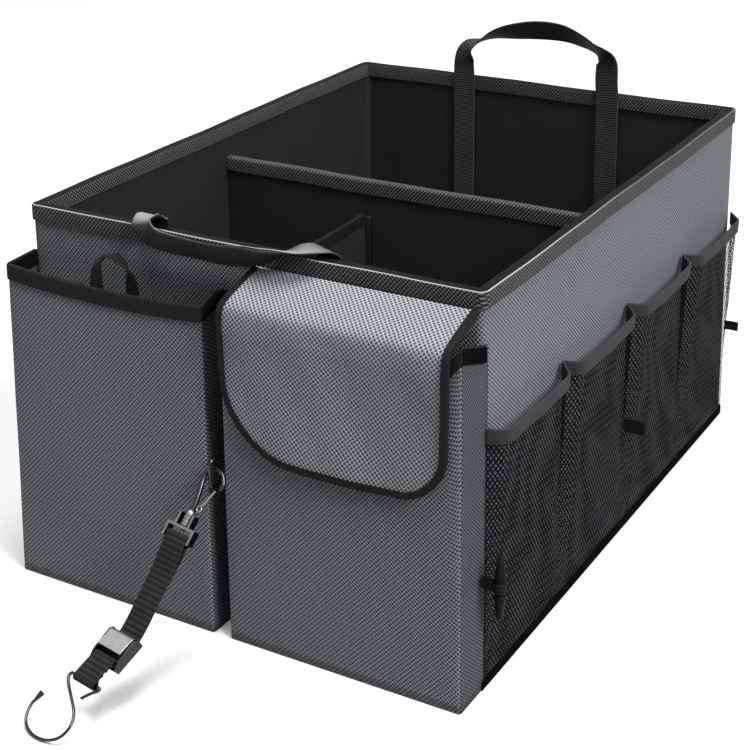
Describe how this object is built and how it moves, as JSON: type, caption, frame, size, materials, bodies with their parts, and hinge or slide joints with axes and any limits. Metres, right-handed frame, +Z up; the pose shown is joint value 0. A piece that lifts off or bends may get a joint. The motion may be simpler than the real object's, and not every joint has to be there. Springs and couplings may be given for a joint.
{
  "type": "car organizer",
  "caption": "Folding fabric box with dividers, front pockets, one with a flap, net side pockets, webbing handles and a tie-down strap, for loose goods in a car.",
  "frame": {"origin": "on the floor under the middle of the box's base", "axes": "X along the short front, Y from the front pockets to the back, Z up"},
  "size_m": [0.4198, 0.7085, 0.3585],
  "materials": {
    "grey_cloth": "woven, dotted twill",
    "board": "plain fibre board",
    "black_lining": "smooth coated cloth",
    "black_tape": "ribbed webbing",
    "net": "open net",
    "black_nickel": "dark nickel plate",
    "grey_steel": "satin plate",
    "black_plastic": "satin"
  },
  "bodies": {
    "box": {"outer_shell": "grey_cloth", "front_board": "board", "back_board": "board", "base_board": "board", "side_board_left_1": "board", "side_board_left_2": "board", "side_board_left_3": "board", "side_board_left_4": "board", "side_board_right_1": "board", "side_board_right_2": "board", "side_board_right_3": "board", "side_board_right_4": "board", "lining": "black_lining", "rim_binding": "black_tape", "base_binding": "black_tape", "main_divider": "black_lining", "main_divider_binding": "black_tape", "front_divider": "black_lining", "front_pocket_left": "grey_cloth", "front_pocket_left_binding": "black_tape", "front_pocket_right": "grey_cloth", "front_pocket_right_binding": "black_tape", "pocket_loop": "black_tape", "side_net_left": "net", "side_net_band_left": "net", "side_net_right": "net", "side_net_band_right": "net", "toggle": "black_plastic", "toggle_loop": "black_tape", "side_tab": "black_tape", "rear_loop": "black_tape", "handle_back": "black_tape", "handle_front": "black_tape", "strap_ring": "black_nickel", "ring_tape": "black_tape", "swivel_frame": "black_nickel", "strap_upper": "black_tape", "strap_lower": "black_tape", "buckle_frame": "black_nickel"},
    "flap": {"flap": "grey_cloth", "flap_binding": "black_tape"},
    "snap": {"snap_hook": "black_nickel"},
    "gate": {"snap_gate": "black_nickel"},
    "lever": {"buckle_lever": "grey_steel"},
    "hook": {"wire_hook": "black_nickel", "hook_tip": "black_plastic"}
  },
  "joints": [
    {"name": "flap_lift", "type": "hinge", "parent": "box", "child": "flap", "pos_m": [0.096, -0.24893, 0.28695], "axis": [-1, 0, 0], "range_deg": [0, 90], "deforming": ["handle_front"]},
    {"name": "snap_turn", "type": "hinge", "parent": "box", "child": "snap", "pos_m": [-0.0095, -0.31276, 0.11314], "axis": [0.1322, 0.6694, 0.7311], "range_deg": [-12, 12]},
    {"name": "gate_open", "type": "hinge", "parent": "snap", "child": "gate", "pos_m": [-0.00298, -0.30765, 0.11987], "axis": [-0.1417, -0.7172, 0.6823], "range_deg": [0, 20], "stiffness_Nm_per_rad": 0.01, "springref_deg": -5.73},
    {"name": "lever_open", "type": "hinge", "parent": "box", "child": "lever", "pos_m": [-0.02259, -0.37903, 0.04697], "axis": [-0.981, 0.1938, 0], "range_deg": [0, 60], "stiffness_Nm_per_rad": 0.05, "springref_deg": -11.46},
    {"name": "hook_swing", "type": "hinge", "parent": "box", "child": "hook", "pos_m": [-0.02926, -0.41283, 0.0297], "axis": [-0.981, 0.1938, 0], "range_deg": [-60, 60]}
  ]
}
